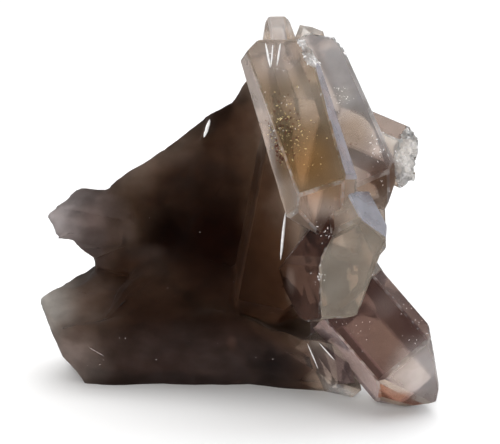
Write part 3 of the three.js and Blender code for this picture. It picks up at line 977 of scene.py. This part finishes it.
def flake_material(name, first, second, smooth, rough):
    """Pale, golden or dark flakes, mottled from flake to flake."""
    material, tree, shader, place = new_material(name)
    look = mottled(tree, place, first, second, FLAKE_MOTTLE, smooth, rough)
    tree.links.new(look.outputs["Color"], shader.inputs["Base Color"])
    tree.links.new(look.outputs["Roughness"], shader.inputs["Roughness"])
    bump = put(tree, "ShaderNodeBump", {"Height": look.outputs["Height"], "Distance": FLAKE_BUMP})
    tree.links.new(bump.outputs["Normal"], shader.inputs["Normal"])
    return material


# The pale veil and pale dust finishes also make the painted glints, and the veil makes the ridge's painted
# reflection
FINISHES = {
    "veil": flake_material("pale_veil_and_glint", (0.86, 0.84, 0.84, 1), WHITE, 0.12, 0.45),
    "gold": flake_material("golden_fleck", (0.30, 0.21, 0.08, 1), (0.86, 0.74, 0.42, 1), 0.15, 0.5),
    "speck": flake_material("dark_speck", (0.05, 0.012, 0.008, 1), (0.17, 0.055, 0.03, 1), 0.3, 0.6),
    "dust": flake_material("pale_dust_and_glint", (0.42, 0.34, 0.33, 1), (0.80, 0.74, 0.73, 1), 0.3, 0.7),
}


def make_body():
    """The quartz itself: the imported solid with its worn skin, its breaks and its smoke."""
    body = new_object("quartz", refined_body())
    dressed(body, worn_skin(), {**SKIN, "Material": quartz_material()})
    carried(body)
    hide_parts("quartz_cluster")
    return body


def make_needles():
    """Streaks, slivers and lines on the faces; the ridge sliver is a painted reflection."""
    tree = tapered_needles()
    for name, (start, end, width, finish) in NEEDLES.items():
        mesh = bpy.data.meshes.new(name)
        mesh.from_pydata([Vector(start) * MM, Vector(end) * MM], [(0, 1)], [])
        widths = mesh.attributes.new("width", "FLOAT", "POINT")
        for item in widths.data:
            item.value = width * MM
        values = {
            "Steps": NEEDLE_STEPS,
            "Sides": NEEDLE_SIDES,
            "Ripple": NEEDLE_RIPPLE * width * MM,
            "Material": FINISHES[finish],
        }
        carried(dressed(new_object(name, mesh), tree, values))


def make_chips(body):
    """Chips and painted glints along edges and breaks, flecks on the crystal faces, and dust and painted
    glints on the mass.
    """
    tree = chips_on_faces()
    for name, (middle, reach, form, density, size, flatness, seed, finish) in CHIPS.items():
        values = {
            "Middle": Vector(middle) * MM,
            "Reach": Vector(reach) * MM,
            "Form": float(form),
            "Clumping": float(max(reach) > CLUMP_REACH),
            "Density": density / MM**2,
            "Size": size * MM,
            "Flatness": flatness,
            "Seed": seed,
            "Material": FINISHES[finish],
        }
        carried(dressed(new_object(name, body.data), tree, values))


def make_floor():
    """A pale floor that isn't mirrored in the quartz."""
    mesh = bpy.data.meshes.new("floor")
    corners = [(x * FLOOR_REACH, y * FLOOR_REACH, 0) for x, y in ((-1, -1), (1, -1), (1, 1), (-1, 1))]
    mesh.from_pydata(corners, [], [(0, 1, 2, 3)])
    floor = new_object("floor", mesh)
    material, _, shader, _ = new_material("pale_floor")
    shader.inputs["Base Color"].default_value = FLOOR_COLOUR
    shader.inputs["Roughness"].default_value = FLOOR_ROUGH
    mesh.materials.append(material)
    floor.visible_glossy = False


def make_lamp(name, place, size, power, colour):
    """A soft round lamp that shines at the cluster and isn't mirrored in it."""
    data = bpy.data.lights.new(name, "AREA")
    data.shape = "DISK"
    data.size = size
    data.energy = power
    data.color = colour
    lamp = new_object(name, data)
    lamp.location = place
    lamp.rotation_euler = (AIM - Vector(place)).to_track_quat("-Z", "Y").to_euler()
    lamp.visible_glossy = False
    lamp.visible_transmission = False


def make_light():
    """A white studio, dim on the viewer's side, with soft lamps above, in front and at the right."""
    world = bpy.data.worlds.new("studio")
    world.use_nodes = True
    tree = world.node_tree
    direction = put(tree, "ShaderNodeTexCoord").outputs["Generated"]
    back = eased(tree, reckon_vector(tree, "DOT_PRODUCT", direction, (0, 1, 0)), *GLOW_LIMITS)
    rays = put(tree, "ShaderNodeLightPath")
    through = rays.outputs["Is Transmission Ray"]
    front = reckon(tree, "ADD", reckon(tree, "MULTIPLY", through, THROUGH_GLOW), FRONT_GLOW)
    front = reckon(tree, "MULTIPLY", front, reckon(tree, "SUBTRACT", 1.0, back))
    level = reckon(tree, "ADD", reckon(tree, "MULTIPLY", back, BACK_GLOW), front)
    mirrored = reckon(tree, "SUBTRACT", rays.outputs["Is Glossy Ray"], through)
    mirrored = reckon(tree, "MAXIMUM", mirrored, 0.0)
    shade = reckon(tree, "SUBTRACT", 1.0, reckon(tree, "MULTIPLY", mirrored, MIRROR_SHADE))
    level = reckon(tree, "MAXIMUM", reckon(tree, "MULTIPLY", level, shade), rays.outputs["Is Camera Ray"])
    tree.links.new(level, tree.nodes["Background"].inputs["Strength"])
    tree.nodes["Background"].inputs["Color"].default_value = WHITE
    bpy.context.scene.world = world
    for name, (place, size, power, colour) in LAMPS.items():
        make_lamp(name, place, size, power, colour)


def make_camera():
    """The photo's camera."""
    data = bpy.data.cameras.new("camera")
    data.lens = LENS
    data.sensor_width = SENSOR
    camera = new_object("camera", data)
    camera.location = EYE
    camera.rotation_euler = (AIM - EYE).to_track_quat("-Z", "Y").to_euler()
    bpy.context.scene.camera = camera


quartz = make_body()
make_needles()
make_chips(quartz)
make_floor()
make_light()
make_camera()
bpy.context.scene.view_settings.view_transform = "Standard"
bpy.context.scene.cycles.max_bounces = 32
bpy.context.scene.cycles.transmission_bounces = 24
bpy.context.scene.cycles.glossy_bounces = 12
